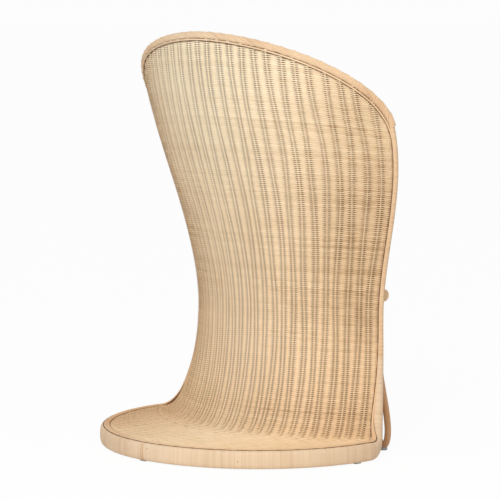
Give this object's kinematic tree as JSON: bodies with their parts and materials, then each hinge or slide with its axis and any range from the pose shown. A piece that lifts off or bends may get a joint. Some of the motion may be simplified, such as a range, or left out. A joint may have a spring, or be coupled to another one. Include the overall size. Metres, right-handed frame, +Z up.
{
  "type": "woven rattan lounge chair",
  "caption": "Low lounge chair in woven rattan: a round seat runs up into a tall hooded hourglass back, with hairpin rear legs.",
  "frame": {"origin": "on the floor, at the middle of the bottom of the chair's bounding box", "axes": "+Z up, the sitter faces -Y, +X is the sitter's left"},
  "size_m": [0.8772, 0.568, 1.0496],
  "materials": {
    "woven_rattan": "matte natural split rattan weave",
    "wrapped_rattan": "satin honey rattan peel",
    "brown_rod": "satin brown rattan rod",
    "grey_plastic": "matte grey plastic"
  },
  "bodies": {
    "root": {"woven_sheet": "woven_rattan", "seat_hoop": "wrapped_rattan", "top_braid": "wrapped_rattan", "waist_pole": "wrapped_rattan", "side_rim_left": "wrapped_rattan", "rear_leg_left": "brown_rod", "foot_cap_left": "grey_plastic", "glide_left": "grey_plastic", "side_rim_right": "wrapped_rattan", "rear_leg_right": "brown_rod", "foot_cap_right": "grey_plastic", "glide_right": "grey_plastic", "glide_front": "grey_plastic", "seat_bar_1": "wrapped_rattan", "seat_bar_2": "wrapped_rattan"}
  },
  "joints": []
}
